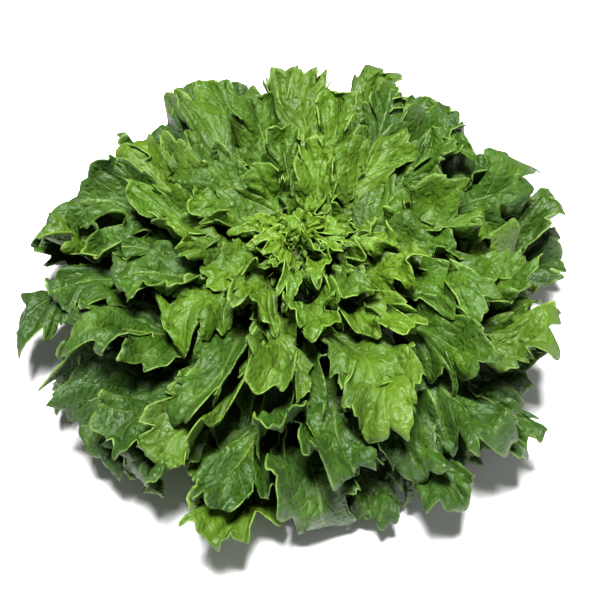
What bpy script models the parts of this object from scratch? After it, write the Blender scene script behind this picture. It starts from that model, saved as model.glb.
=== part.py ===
"""A head of broad-leaved chicory greens, standing on its cut stem.

The leaves spiral round a short stem and lie on nested levels, from the lowest leaf (level 0), which arches
out to the table, to the innermost (level 1), which stands upright round the heart. Each outer and each middle
leaf is a solid of its own. The inner leaves and the heart's small leaves are joined to the slim core that they
grow from. Each blade is cut into rounded lobes that rise and fall in turn round its edge, and a lobe is lowered
where it would reach another leaf, so the outer and middle leaves touch nothing.
Units are metres, +Z is up, and the origin is the middle of the stem's cut face.
"""

import math

import bmesh
import bpy
import numpy as np
from mathutils.bvhtree import BVHTree

# Driving dimensions
MM = 0.001
# The outer and middle leaves grow on the stem. The inner leaves and the heart's small leaves grow on a
# core above it
OUTER_LEAVES = 28
MIDDLE_LEAVES = 28
INNER_LEAVES = 31
HEART_LEAVES = 10
STEM_LEAVES = OUTER_LEAVES + MIDDLE_LEAVES
LEAVES = STEM_LEAVES + INNER_LEAVES
GOLDEN_ANGLE = math.radians(137.508)
# The way that the head's front side faces before it is turned to -Y
FRONT = math.radians(174)
SEED = 58

RIB_THICKNESS = 2.7 * MM
INNER_RIB_THICKNESS = 1.8 * MM
HEART_RIB_THICKNESS = 1.6 * MM
FLOOR_CLEARANCE = 1.2 * MM

# Where ribs start, on the stem and on the core, from the lowest to the highest, as (distance from the
# stem's axis, height) in millimetres, and how wide they start as a share of that distance
STEM_BASES = ((25, 8.5), (14.5, 29.5))
CORE_BASES = ((10.5, 33.5), (6, 46))
BASE_WIDTH = 0.2
# The ribs at six levels of the head, 0 for the lowest leaf and 1 for the innermost: where they end,
# their slopes at each end in degrees above level, and how far they keep each slope in millimetres
RIB_LEVELS = (0.0, 0.25, 0.55, 0.76, 0.90, 1.0)
RIB_TIPS = ((138, 13), (155, 45), (138, 84), (106, 104), (74, 110), (46, 108))
BASE_SLOPES = (18, 29, 41, 53, 63, 73)
TIP_SLOPES = (-64, -52, -34, -10, 16, 40)
BASE_PULLS = (60, 60, 60, 50, 45, 35)
TIP_PULLS = (20, 20, 20, 18, 15, 12)
RIB_SAMPLES = 111
PAST_TIP = 1.1
# Half a leaf's spread round the head in degrees, and the height of its edge waves in millimetres, at
# those levels
LEAF_SPANS = (9.2, 9, 9.5, 11.5, 15, 24)
EDGE_WAVES = (15, 18, 18, 16, 12, 9)

# A leaf's grid: columns on each side of the rib, and the share of its rows that the stalk takes
COLUMNS = 2
STALK = 0.13
# How long the stalk is as a share of the leaf, at those levels
STALK_LENGTHS = (0.45, 0.42, 0.40, 0.36, 0.32, 0.28)
HEART_STALK_LENGTH = 0.4
# Where a leaf is widest and where its last side vein leaves the rib, as shares of its length, and how
# the veins sweep
WIDEST_AT = 0.79
LAST_VEIN_AT = 0.87
VEIN_SWEEP = 1.25
LEAST_ROUND_RADIUS = 9 * MM
# Lobes on one side of a leaf, with half of the tip's, and the most that any leaf may have
LOBES = 2.5
HEART_LOBES = 2.5
MOST_LOBES = 5
# How far a lobe's shoulder lies from its middle, how deep a notch is and how far a lobe spreads, as
# shares of its width
SHOULDER = 0.25
NOTCH_DEPTH = 0.62
LOBE_SPREAD = 0.17
# The most that a notch cuts in, as a share of the way from the rib to the edge
DEEPEST_NOTCH = 0.52

# The heart's leaves, from the outermost to the innermost
HEART_BASES = ((2.5, 50), (2.2, 62))
HEART_TIPS = ((37, 101), (7, 105))
HEART_TIP_SLOPES = (45, 75)
HEART_HALF_WIDTHS = (16, 9)
HEART_WAVES = (8, 4)
# Shares of a leaf's length up to which leaves on the core may meet
INNER_ROOT = 0.14
HEART_ROOT = 0.25

# The dome that the leaves' tips lie on, and the shares of its size from which and by which they may
# stand out of it
DOME_RADIUS = 162 * MM
DOME_HEIGHT = 120 * MM
DOME_START = 0.95
DOME_GIVE = 0.08
# Swells that run through the whole head: their greatest height, and their height as a share of the radius
SWELL_HEIGHT = 7 * MM
SWELL_SLOPE = 0.08
# How far the leaves reach out on the head's longest side, and which way that is
LONG_SIDE_REACH = 13 * MM
LONG_SIDE = math.radians(-133)

# How waves are lowered where leaves would touch: places from one end of a leaf's edge round its tip to
# the other
LEAF_CLEARANCE = 2.2 * MM
CALM_STATIONS = np.linspace(-1, 1, 21)
CALM_REACH = 0.12
CALM_STEP = 0.14
MOST_ROUNDS = 60

# What the solids alone need: the blade's thickness, and the stem's and the heart's core, in millimetres
BLADE_THICKNESS = 0.9 * MM
STEM_CUT_RADIUS = 18.5
STEM_CLEARANCE = 1.5
# The heart's slim core as (radius, height) in millimetres, from the top down
HEART_CORE = ((0, 74), (1.5, 72), (3.2, 66), (4.6, 56), (6.8, 46), (9, 39), (11.5, 33.4), (11.5, 30.9), (0, 30.9))


def smooth_step(value, low, high):
    share = np.clip((np.asarray(value, float) - low) / (high - low), 0, 1)
    return share * share * (3 - 2 * share)


def at_level(values, level):
    """A value or a point of a table that is given at RIB_LEVELS, read between its levels."""
    table = np.array(values, float)
    if table.ndim == 1:
        return np.interp(level, RIB_LEVELS, table)
    return np.array([np.interp(level, RIB_LEVELS, column) for column in table.T])


def between(ends, share):
    return np.array(ends[0]) + (np.array(ends[1]) - ends[0]) * share


def rib_line(start, tip, slopes, pulls):
    """A rib as arrays of length along it, radius, height and lean, to a little past its tip, and its true length."""
    leaving, arriving = (np.array([math.cos(slope), math.sin(slope)]) for slope in np.radians(slopes))
    rise, bend = start + pulls[0] * leaving, tip - pulls[1] * arriving
    s = np.linspace(0, PAST_TIP, RIB_SAMPLES)
    near, far = 1 - s[:, None], s[:, None]
    line = (near**3 * start + 3 * far * near**2 * rise + 3 * far**2 * near * bend + far**3 * tip) * MM
    steps = np.diff(line, axis=0)
    length = np.concatenate([[0], np.cumsum(np.hypot(steps[:, 0], steps[:, 1]))])
    lean = np.unwrap(np.arctan2(np.gradient(line[:, 1]), np.gradient(line[:, 0])))
    return (length, line[:, 0], line[:, 1], lean), np.interp(1, s, length)


def lobe_rises(draw, wave):
    """How far each lobe of a leaf rises, in turn to one side of the blade and to the other."""
    first = draw.choice([-1, 1])
    turns = first * (-1.0) ** np.arange(2 * MOST_LOBES + 1)
    return wave * turns * draw.uniform(0.55, 1.15, len(turns))


def leaf_plan(index):
    """What is particular to one leaf. Index 0 is the lowest leaf."""
    draw = np.random.default_rng(SEED + index)
    level = index / (LEAVES - 1)
    slopes = at_level(BASE_SLOPES, level), at_level(TIP_SLOPES, level)
    pulls = at_level(BASE_PULLS, level), at_level(TIP_PULLS, level)
    on_stem = index < STEM_LEAVES
    if on_stem:
        base = between(STEM_BASES, index / (STEM_LEAVES - 1))
    else:
        base = between(CORE_BASES, (index - STEM_LEAVES) / (INNER_LEAVES - 1))
    line, full_length = rib_line(base, at_level(RIB_TIPS, level), slopes, pulls)
    length = full_length * draw.uniform(0.95, 1.02)
    widest_radius = np.interp(WIDEST_AT * length, line[0], line[1])
    span = math.radians(at_level(LEAF_SPANS, level))
    plan = {
        "line": line,
        "level": level,
        "azimuth": index * GOLDEN_ANGLE + draw.uniform(-0.06, 0.06),
        "length": length,
        "rib": RIB_THICKNESS + (INNER_RIB_THICKNESS - RIB_THICKNESS) * level,
        "half_width": span * widest_radius * draw.uniform(0.9, 1.06),
        "base_half_width": BASE_WIDTH * line[1][0],
        "stalk": at_level(STALK_LENGTHS, level),
        "lobes": LOBES,
        "root": 0 if on_stem else INNER_ROOT,
        "spread": LOBE_SPREAD,
        "rises": lobe_rises(draw, at_level(EDGE_WAVES, level) * MM),
        "notches": draw.uniform(0.7, 1.25, 2 * MOST_LOBES + 1),
        "uneven": draw.uniform(0, 1, 3),
        "cup": draw.uniform(-4, 8) * MM,
        "roll": draw.uniform(-9, 9) * MM,
        "curl": draw.uniform(-16, 3) * MM,
        "twist": draw.uniform(-0.06, 0.2),
    }
    return finished(plan)


def heart_plan(index):
    """One of the small leaves of the heart, from the outermost (0) inwards."""
    draw = np.random.default_rng(SEED + LEAVES + index)
    inward = index / (HEART_LEAVES - 1)
    slopes = 84, between(HEART_TIP_SLOPES, inward)
    pulls = 25 - 10 * inward, 18 - 6 * inward
    line, length = rib_line(between(HEART_BASES, inward), between(HEART_TIPS, inward), slopes, pulls)
    plan = {
        "line": line,
        "level": 1 + inward,
        "azimuth": (LEAVES + index) * GOLDEN_ANGLE + draw.uniform(-0.2, 0.2),
        "length": length * draw.uniform(0.9, 1.05),
        "rib": HEART_RIB_THICKNESS,
        "half_width": between(HEART_HALF_WIDTHS, inward) * draw.uniform(0.9, 1.1) * MM,
        "base_half_width": 2.6 * MM,
        "stalk": HEART_STALK_LENGTH,
        "lobes": HEART_LOBES,
        "root": HEART_ROOT,
        "spread": 0,
        "rises": lobe_rises(draw, between(HEART_WAVES, inward) * MM),
        "notches": draw.uniform(0.7, 1.2, 2 * MOST_LOBES + 1),
        "uneven": draw.uniform(0, 1, 3),
        "cup": draw.uniform(-1, 2) * MM,
        "roll": draw.uniform(-3, 3) * MM,
        "curl": draw.uniform(-3, 3) * MM,
        "twist": draw.uniform(-0.3, 0.3),
    }
    return finished(plan)


def blade_edge(plan, turn):
    """A place on the edge of a leaf's blade without its lobes, from the stalk (0) to the tip (pi)."""
    neck = 0.8 * plan["base_half_width"] + 2 * MM
    widest = WIDEST_AT * plan["length"]
    lower = turn < math.pi / 2
    reach = np.where(lower, widest - plan["stalk"] * plan["length"], plan["length"] - widest)
    rise = np.where(turn > math.pi - 1e-6, 0, np.maximum(np.sin(turn), 0))
    below, above = neck + (plan["half_width"] - neck) * rise**1.35, plan["half_width"] * rise**0.75
    return widest - reach * np.cos(turn), np.where(lower, below, above)


def finished(plan):
    """Adds what follows from a plan's outline: where equal parts of its edge lie, and the width of a lobe."""
    turns = np.linspace(0, math.pi, 181)
    steps = np.diff(np.stack(blade_edge(plan, turns)), axis=1)
    lengths = np.concatenate([[0], np.cumsum(np.hypot(*steps))])
    plan["turns"] = lengths / lengths[-1], turns
    plan["lobe"] = lengths[-1] / plan["lobes"]
    plan["calm"] = np.ones(len(CALM_STATIONS))
    return plan


def outline(plan, along, side):
    """For rows from the base (0) to the tip (1): where the side vein starts on the rib, and its end at the edge."""
    stalk_length = plan["stalk"] * plan["length"]
    stalk = np.clip(along / STALK, 0, 1)
    up = np.clip((along - STALK) / (1 - STALK), 0, 1)
    place = plan["uneven"][0] + side * plan["uneven"][1]
    uneven = 0.035 * np.sin(math.pi * up) * np.sin(2 * math.pi * (1.3 * up + place))
    vein_turn, edge_turn = np.interp(up, *plan["turns"]), np.interp(up + uneven, *plan["turns"])
    veined = LAST_VEIN_AT * plan["length"] - stalk_length
    vein_start = stalk_length + veined * (vein_turn / math.pi) ** VEIN_SWEEP
    edge_along, edge_across = blade_edge(plan, edge_turn)
    on_stalk = along < STALK
    neck = blade_edge(plan, 0.0)[1]
    stalk_across = plan["base_half_width"] + (neck - plan["base_half_width"]) * stalk
    return (
        np.where(on_stalk, stalk_length * stalk, vein_start),
        np.where(on_stalk, stalk_length * stalk, edge_along),
        np.where(on_stalk, stalk_across, edge_across),
    )


def edge_direction(plan, along, side):
    """The way the edge runs, from the left base round the tip to the right, as shares forward and sideways."""
    step = 0.006
    ends = []
    for place in (np.minimum(along + step, 1), np.maximum(along - step, 0)):
        _, edge_along, edge_across = outline(plan, place, side)
        ends.append(np.stack([edge_along, side * edge_across]))
    run = np.where(side < 0, -1, 1) * (ends[1] - ends[0])
    return run / np.maximum(np.hypot(*run), 1e-9)


def lobe_place(plan, across, along):
    """Where a row lies among the lobes: 0 in the middle of the tip's, whole numbers in the middles of others."""
    return np.sign(across) * plan["lobes"] * np.clip((1 - along) / (1 - STALK), 0, 1)


def flat_leaf(plan, across, along):
    """Places on the flat blade, forward and sideways, and how far off it they rise. Edges are at -1 and 1 across."""
    side = np.sign(across)
    vein_start, edge_along, edge_across = outline(plan, along, side)
    out = np.abs(across)
    blade = smooth_step(along, STALK * 0.8, STALK + 0.25)
    lobe = lobe_place(plan, across, along)
    nearest = np.round(lobe).astype(int)
    vein = np.hypot(edge_along - vein_start, edge_across)
    deepest = np.minimum(NOTCH_DEPTH * plan["lobe"] / vein, DEEPEST_NOTCH)
    deepest = deepest * plan["notches"][nearest + MOST_LOBES]
    kept = out * (1 - blade * deepest * np.abs(2 * (lobe - nearest)) ** 3.5)
    direction = edge_direction(plan, along, side)
    slide = plan["spread"] * plan["lobe"] * blade * out**2 * np.sin(2 * math.pi * lobe)
    forward = vein_start + (edge_along - vein_start) * kept + slide * direction[0]
    sideways = side * edge_across * kept + slide * direction[1]
    below = np.floor(lobe).astype(int)
    share = (1 - np.cos(math.pi * (lobe - below))) / 2
    rises = plan["rises"]
    after = np.minimum(below + 1, MOST_LOBES)
    lobe_rise = rises[below + MOST_LOBES] * (1 - share) + rises[after + MOST_LOBES] * share
    bend = out**1.1 * lobe_rise + out**2 * plan["cup"] + out**1.5 * plan["roll"] * sideways / plan["half_width"]
    calm = np.interp(side * (1 - along), CALM_STATIONS, plan["calm"])
    rise = blade * calm * bend + plan["curl"] * smooth_step(forward / plan["length"], 0.45, 1.05)
    return forward, sideways, rise


def swell(points):
    """Swells that neighbouring leaves share, as packed leaves do: a smooth push of space across its shells."""
    x, y, z = points.T
    r = np.hypot(x, y)
    azimuth = np.arctan2(y, x)
    climb = np.arctan2(z, r)
    away = np.hypot(r, z)
    height = np.minimum(SWELL_SLOPE * r, SWELL_HEIGHT) * smooth_step(away, 55 * MM, 115 * MM)
    wave = 0.6 * np.sin(13 * azimuth + 4 * climb) * np.cos(6 * climb + 1) + 0.4 * np.sin(8 * azimuth - 60 * away)
    facing = math.radians(20) + 1.7 * climb
    outward = height * wave * np.cos(facing)
    upward = height * wave * np.sin(facing)
    return points + np.stack([outward * np.cos(azimuth), outward * np.sin(azimuth), upward], axis=1)


def sway(points):
    """The whole head's unevenness, again as one smooth push of space, so that it can't make leaves cross."""
    x, y, z = points.T
    away = smooth_step(np.hypot(x, y), 30 * MM, 90 * MM)
    lift = smooth_step(z, 5 * MM, 50 * MM)
    push = np.stack(
        [
            6 * MM * np.sin(38 * y + 20 * z + 0.4) + 2.5 * MM * np.sin(85 * y - 40 * z + 1.9),
            6 * MM * np.sin(41 * x - 23 * z + 2.1) + 2.5 * MM * np.sin(80 * x + 35 * z + 0.2),
            lift * (6 * MM * np.sin(36 * x + 1.0) * np.cos(31 * y + 0.3) + 2 * MM * np.sin(90 * x + 70 * y)),
        ],
        axis=1,
    )
    return points + away[:, None] * push


def hold_round(points):
    """Draws in what would stand out of the dome that the leaves' tips lie on."""
    x, y, z = points.T
    out = (np.abs(np.hypot(x, y) / DOME_RADIUS) ** 3 + np.abs(z / DOME_HEIGHT) ** 3) ** (1 / 3)
    held = DOME_START + DOME_GIVE * np.tanh((out - DOME_START) / DOME_GIVE)
    return points * np.where(out > DOME_START, held / np.maximum(out, DOME_START), 1)[:, None]


def face_front(points):
    """Turns the head's front side to -Y, and lets the leaves of its longest side reach out."""
    x, y, z = points.T
    r = np.hypot(x, y)
    azimuth = np.arctan2(y, x) + FRONT
    towards = np.maximum(np.cos(azimuth - LONG_SIDE), 0) ** 8
    r = r + LONG_SIDE_REACH * towards * smooth_step(r, 60 * MM, 140 * MM)
    return np.stack([r * np.cos(azimuth), r * np.sin(azimuth), z], axis=1)


def rest_on_table(points):
    """Bends what would sink through the table up to just above it."""
    depth = 6 * MM
    height = points[:, 2] - FLOOR_CLEARANCE
    points[:, 2] = FLOOR_CLEARANCE + np.where(height > depth, height, depth * np.exp((height - depth) / depth))
    return points


def on_head(plan, forward, sideways, rise):
    """Bends the places of a flat leaf to its rib and round the head."""
    length, radius, height, lean = plan["line"]
    r = np.interp(forward, length, radius)
    z = np.interp(forward, length, height)
    angle = np.interp(forward, length, lean)
    azimuth = plan["azimuth"] + plan["twist"] * (forward / plan["length"]) ** 2
    azimuth = azimuth + sideways / np.maximum(r, LEAST_ROUND_RADIUS)
    r = r - rise * np.sin(angle)
    z = z + rise * np.cos(angle)
    points = np.stack([r * np.cos(azimuth), r * np.sin(azimuth), z], axis=1)
    if plan["level"] <= 1:
        points = swell(points)
    return rest_on_table(face_front(hold_round(sway(points))))


def grid_rows(plan):
    """Where the rows of a leaf's grid lie along it: at its base, then at each lobe's notch and two shoulders."""
    lobes = plan["lobes"]
    places = [0.0, SHOULDER]
    for notch in np.arange(0.5, lobes - 1):
        places += [notch, notch + 0.5 - SHOULDER, notch + 0.5 + SHOULDER]
    places = [place for place in places if place < lobes - 1] + [lobes - 1, lobes - 0.5]
    blade = [1 - (1 - STALK) * place / lobes for place in reversed(places)]
    return np.array([0, STALK, *blade])


def leaf_grid(columns, rows):
    """A flat grid of triangles to bend into a leaf, and each point's place across and along the leaf."""
    shape = bmesh.new()
    bmesh.ops.create_grid(shape, x_segments=2 * columns, y_segments=len(rows) - 1, size=1)
    bmesh.ops.triangulate(shape, faces=shape.faces, quad_method="FIXED")
    places = np.array([vertex.co[:2] for vertex in shape.verts])
    return shape, places[:, 0], np.interp((places[:, 1] + 1) / 2, np.linspace(0, 1, len(rows)), rows)


class Sheet:
    """A leaf's middle surface, to measure against the others."""

    def __init__(self, plan):
        shape, across, along = leaf_grid(COLUMNS, grid_rows(plan))
        self.plan = plan
        self.round_edge = np.sign(across) * (1 - along)
        self.place = across, along
        self.faces = [[vertex.index for vertex in face.verts] for face in shape.faces]
        shape.free()
        self.bend()

    def bend(self):
        self.points = on_head(self.plan, *flat_leaf(self.plan, *self.place))
        self.low, self.high = self.points.min(axis=0), self.points.max(axis=0)
        self.tree = BVHTree.FromPolygons(self.points.tolist(), self.faces)

    def spots_near(self, other, least_along):
        """The points of this leaf, from a share of its length up, that are too near the other."""
        reach = LEAF_CLEARANCE
        if (self.low > other.high + reach).any() or (other.low > self.high + reach).any():
            return []
        close = ((self.points > other.low - reach) & (self.points < other.high + reach)).all(axis=1)
        near = np.flatnonzero(close)
        touching = [i for i in near if other.tree.find_nearest(self.points[i], reach)[0] is not None]
        crossing = {i for face, _ in self.tree.overlap(other.tree) for i in self.faces[face]}
        return {i for i in {*touching, *crossing} if self.place[1][i] > least_along}

    def calm_at(self, spots):
        stations = set(np.abs(np.subtract.outer(self.round_edge[spots], CALM_STATIONS)).argmin(axis=1))
        for station in sorted(stations):
            away = (CALM_STATIONS - CALM_STATIONS[station]) / CALM_REACH
            self.plan["calm"] *= 1 - CALM_STEP * np.exp(-(away**2))
        self.plan["curl"] *= 1 - CALM_STEP / 2


def keep_leaves_apart(plans):
    """Lowers the waves of leaves a little at a time where they would touch, apart from roots that may meet."""
    sheets = [Sheet(plan) for plan in plans]
    moved = set(range(len(sheets)))
    for _ in range(MOST_ROUNDS):
        spots = {}
        for i, sheet in enumerate(sheets):
            for j, other in enumerate(sheets):
                if i != j and (i in moved or j in moved):
                    found = sheet.spots_near(other, min(sheet.plan["root"], other.plan["root"]))
                    if found:
                        spots.setdefault(i, set()).update(found)
        moved = set(spots)
        if not moved:
            break
        for i in sorted(moved):
            sheets[i].calm_at(sorted(spots[i]))
            sheets[i].bend()


def sheet_thickness(plan, across, along):
    """The rib is thickest at the base and thins towards the tip, and the blade is thin all over."""
    ridge = BLADE_THICKNESS + (plan["rib"] - BLADE_THICKNESS) * (1 - smooth_step(along, 0.05, 0.8))
    return BLADE_THICKNESS + (ridge - BLADE_THICKNESS) * (1 - np.abs(across)) ** 1.5


def leaf_material(name, colour, roughness):
    material = bpy.data.materials.new(name)
    material.use_nodes = True
    surface = material.node_tree.nodes["Principled BSDF"]
    surface.inputs["Base Color"].default_value = (*colour, 1)
    surface.inputs["Roughness"].default_value = roughness
    surface.inputs["Metallic"].default_value = 0
    return material


def leaf(name, plan, material, collection):
    """One leaf: a grid bent into the leaf's middle surface, closed at the tip, and given its thickness."""
    shape, across, along = leaf_grid(COLUMNS, grid_rows(plan))
    thickness = sheet_thickness(plan, across, along)
    points = on_head(plan, *flat_leaf(plan, across, along))
    kept = shape.verts.layers.float.new("thickness")
    for vertex, point, thick in zip(shape.verts, points, thickness):
        vertex.co = point
        vertex[kept] = thick
    bmesh.ops.remove_doubles(shape, verts=shape.verts, dist=0.01 * MM)
    thick = [vertex[kept] for vertex in shape.verts]
    mesh = bpy.data.meshes.new(name)
    shape.to_mesh(mesh)
    shape.free()
    mesh.materials.append(material)
    mesh.shade_smooth()
    made = bpy.data.objects.new(name, mesh)
    collection.objects.link(made)
    group = made.vertex_groups.new(name="thickness")
    for index, value in enumerate(thick):
        group.add([index], value / RIB_THICKNESS, "REPLACE")
    solid = made.modifiers.new("thickness", "SOLIDIFY")
    solid.thickness = RIB_THICKNESS
    solid.offset = 0
    solid.vertex_group = group.name
    return made


def turned(name, profile, steps, material, collection):
    """A solid turned from a (radius, height) profile in millimetres that runs from the top down its outer side."""
    mesh = bpy.data.meshes.new(name)
    points = [(radius * MM, 0, height * MM) for radius, height in profile]
    mesh.from_pydata(points, [(i, i + 1) for i in range(len(points) - 1)], [])
    mesh.materials.append(material)
    made = bpy.data.objects.new(name, mesh)
    collection.objects.link(made)
    screw = made.modifiers.new("turn", "SCREW")
    screw.steps = screw.render_steps = steps
    screw.use_merge_vertices = True
    screw.merge_threshold = 0.01 * MM
    return made


def stem(material, collection):
    """The stem's short cone between the leaf bases, down to its flat cut face."""
    (foot, foot_height), (shoulder, shoulder_height) = STEM_BASES
    foot, shoulder, top = foot - STEM_CLEARANCE, shoulder - STEM_CLEARANCE, shoulder_height + 1
    profile = [(0, top), (shoulder - 1, top), (shoulder, shoulder_height), (foot, foot_height), (foot, 5)]
    profile += [(STEM_CUT_RADIUS + 1, 0.7), (STEM_CUT_RADIUS, 0), (0, 0)]
    return turned("stem", profile, 14, material, collection)


def keep_largest_body(mesh):
    """Removes the crumbs that a join leaves where thin leaves cross."""
    shape = bmesh.new()
    shape.from_mesh(mesh)
    left, bodies = set(shape.verts), []
    while left:
        body, front = set(), {left.pop()}
        while front:
            body |= front
            front = {edge.other_vert(vertex) for vertex in front for edge in vertex.link_edges} - body
        left -= body
        bodies.append(body)
    crumbs = [vertex for body in sorted(bodies, key=len)[:-1] for vertex in body]
    bmesh.ops.delete(shape, geom=crumbs, context="VERTS")
    shape.to_mesh(mesh)
    shape.free()


def heart(plans, material, collection):
    """The inner leaves and the small leaves of the heart, joined to the slim core that they grow from."""
    made = turned("heart", HEART_CORE, 12, material, collection)
    leaves = bpy.data.collections.new("heart_leaves")
    bpy.context.scene.collection.children.link(leaves)
    for number, plan in enumerate(plans):
        leaf(f"heart_leaf_{number}", plan, material, leaves)
    join = made.modifiers.new("join", "BOOLEAN")
    join.operation = "UNION"
    join.operand_type = "COLLECTION"
    join.collection = leaves
    join.solver = "MANIFOLD"
    bpy.context.view_layer.update()
    graph = bpy.context.evaluated_depsgraph_get()
    mesh = bpy.data.meshes.new_from_object(made.evaluated_get(graph))
    made.modifiers.clear()
    keep_largest_body(mesh)
    made.data = mesh
    for old in list(leaves.objects):
        bpy.data.objects.remove(old)
    bpy.data.collections.remove(leaves)
    return made


def main():
    for old in list(bpy.data.objects):
        bpy.data.objects.remove(old)
    head = bpy.data.collections.new("chicory_greens")
    bpy.context.scene.collection.children.link(head)
    plans = [leaf_plan(index) for index in range(LEAVES)] + [heart_plan(index) for index in range(HEART_LEAVES)]
    keep_leaves_apart(plans)
    whorls = (
        ("outer_leaf", OUTER_LEAVES, leaf_material("outer_leaf", (0.09, 0.22, 0.03), 0.45)),
        ("middle_leaf", MIDDLE_LEAVES, leaf_material("middle_leaf", (0.14, 0.31, 0.04), 0.45)),
    )
    index = 0
    for kind, count, material in whorls:
        for number in range(1, count + 1):
            leaf(f"{kind}_{number:02d}", plans[index], material, head)
            index += 1
    heart(plans[STEM_LEAVES:], leaf_material("heart", (0.30, 0.48, 0.08), 0.45), head)
    stem(leaf_material("stem", (0.72, 0.75, 0.48), 0.5), head)


main()
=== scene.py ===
"""Looks for a head of broad-leaved chicory greens: lobed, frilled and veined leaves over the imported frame.

Each leaf follows the same plan as its solid, on a much finer grid, and adds what the solid is too coarse for:
scooped lobes, folds, frills and teeth along the edge, puffed blade between the side veins, and a rounded rib.
Units are metres, +Z is up, and the origin is the middle of the stem's cut face.
"""

import math

import bmesh
import bpy
import numpy as np
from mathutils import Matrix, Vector
from mathutils.bvhtree import BVHTree


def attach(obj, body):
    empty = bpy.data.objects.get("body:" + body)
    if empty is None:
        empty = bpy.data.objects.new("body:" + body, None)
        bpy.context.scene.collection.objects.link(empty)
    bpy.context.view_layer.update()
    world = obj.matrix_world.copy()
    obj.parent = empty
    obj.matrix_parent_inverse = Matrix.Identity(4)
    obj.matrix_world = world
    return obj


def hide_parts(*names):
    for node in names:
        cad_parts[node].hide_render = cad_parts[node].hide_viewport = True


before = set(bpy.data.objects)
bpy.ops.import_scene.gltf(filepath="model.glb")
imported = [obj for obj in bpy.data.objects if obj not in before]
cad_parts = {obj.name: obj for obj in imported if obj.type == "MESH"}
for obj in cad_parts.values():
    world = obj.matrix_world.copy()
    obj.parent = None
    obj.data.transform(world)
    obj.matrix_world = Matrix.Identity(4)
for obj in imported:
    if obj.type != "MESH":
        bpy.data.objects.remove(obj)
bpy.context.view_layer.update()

MM = 0.001

# The leaves' plan, as the solids have it. The outer and middle leaves grow on the stem. The inner leaves and
# the heart's small leaves grow on a core above it
OUTER_LEAVES = 28
MIDDLE_LEAVES = 28
INNER_LEAVES = 31
HEART_LEAVES = 10
STEM_LEAVES = OUTER_LEAVES + MIDDLE_LEAVES
LEAVES = STEM_LEAVES + INNER_LEAVES
GOLDEN_ANGLE = math.radians(137.508)
# The way that the head's front side faces before it is turned to -Y
FRONT = math.radians(174)
SEED = 58

RIB_THICKNESS = 2.7 * MM
INNER_RIB_THICKNESS = 1.8 * MM
HEART_RIB_THICKNESS = 1.6 * MM
FLOOR_CLEARANCE = 1.2 * MM

# Where ribs start, on the stem and on the core, from the lowest to the highest, as (distance from the
# stem's axis, height) in millimetres, and how wide they start as a share of that distance
STEM_BASES = ((25, 8.5), (14.5, 29.5))
CORE_BASES = ((10.5, 33.5), (6, 46))
BASE_WIDTH = 0.2
# The ribs at six levels of the head, 0 for the lowest leaf and 1 for the innermost: where they end,
# their slopes at each end in degrees above level, and how far they keep each slope in millimetres
RIB_LEVELS = (0.0, 0.25, 0.55, 0.76, 0.90, 1.0)
RIB_TIPS = ((138, 13), (155, 45), (138, 84), (106, 104), (74, 110), (46, 108))
BASE_SLOPES = (18, 29, 41, 53, 63, 73)
TIP_SLOPES = (-64, -52, -34, -10, 16, 40)
BASE_PULLS = (60, 60, 60, 50, 45, 35)
TIP_PULLS = (20, 20, 20, 18, 15, 12)
RIB_SAMPLES = 111
PAST_TIP = 1.1
# Half a leaf's spread round the head in degrees, and the height of its edge waves in millimetres, at
# those levels
LEAF_SPANS = (9.2, 9, 9.5, 11.5, 15, 24)
EDGE_WAVES = (15, 18, 18, 16, 12, 9)

# A leaf's grid: columns on each side of the rib, and the share of its rows that the stalk takes
COLUMNS = 2
STALK = 0.13
# How long the stalk is as a share of the leaf, at those levels
STALK_LENGTHS = (0.45, 0.42, 0.40, 0.36, 0.32, 0.28)
HEART_STALK_LENGTH = 0.4
# Where a leaf is widest and where its last side vein leaves the rib, as shares of its length, and how
# the veins sweep
WIDEST_AT = 0.79
LAST_VEIN_AT = 0.87
VEIN_SWEEP = 1.25
LEAST_ROUND_RADIUS = 9 * MM
# Lobes on one side of a leaf, with half of the tip's, and the most that any leaf may have
LOBES = 2.5
HEART_LOBES = 2.5
MOST_LOBES = 5
# How far a lobe's shoulder lies from its middle, how deep a notch is and how far a lobe spreads, as
# shares of its width
SHOULDER = 0.25
NOTCH_DEPTH = 0.62
LOBE_SPREAD = 0.17
# The most that a notch cuts in, as a share of the way from the rib to the edge
DEEPEST_NOTCH = 0.52

# The heart's leaves, from the outermost to the innermost
HEART_BASES = ((2.5, 50), (2.2, 62))
HEART_TIPS = ((37, 101), (7, 105))
HEART_TIP_SLOPES = (45, 75)
HEART_HALF_WIDTHS = (16, 9)
HEART_WAVES = (8, 4)
# Shares of a leaf's length up to which leaves on the core may meet
INNER_ROOT = 0.14
HEART_ROOT = 0.25

# The dome that the leaves' tips lie on, and the shares of its size from which and by which they may
# stand out of it
DOME_RADIUS = 162 * MM
DOME_HEIGHT = 120 * MM
DOME_START = 0.95
DOME_GIVE = 0.08
# Swells that run through the whole head: their greatest height, and their height as a share of the radius
SWELL_HEIGHT = 7 * MM
SWELL_SLOPE = 0.08
# How far the leaves reach out on the head's longest side, and which way that is
LONG_SIDE_REACH = 13 * MM
LONG_SIDE = math.radians(-133)

# How waves are lowered where leaves would touch: places from one end of a leaf's edge round its tip to
# the other
LEAF_CLEARANCE = 2.2 * MM
CALM_STATIONS = np.linspace(-1, 1, 21)
CALM_REACH = 0.12
CALM_STEP = 0.14
MOST_ROUNDS = 60

# The finer grids: columns on each side of the rib, rows, and how many of the rows the stalk takes
FINE_COLUMNS = 12
FINE_ROWS = 99
FINE_HEART_COLUMNS = 11
FINE_HEART_ROWS = 79
STALK_ROWS = 6
# The leaves on the core share their rows. The inner ones spread their lobes and the small ones don't, so
# the rows are set for half of that spread
HEART_ROW_SPREAD = 0.5 * LOBE_SPREAD
# The pieces that the leaves on the core are joined into
HEART_PIECES = 3
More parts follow.
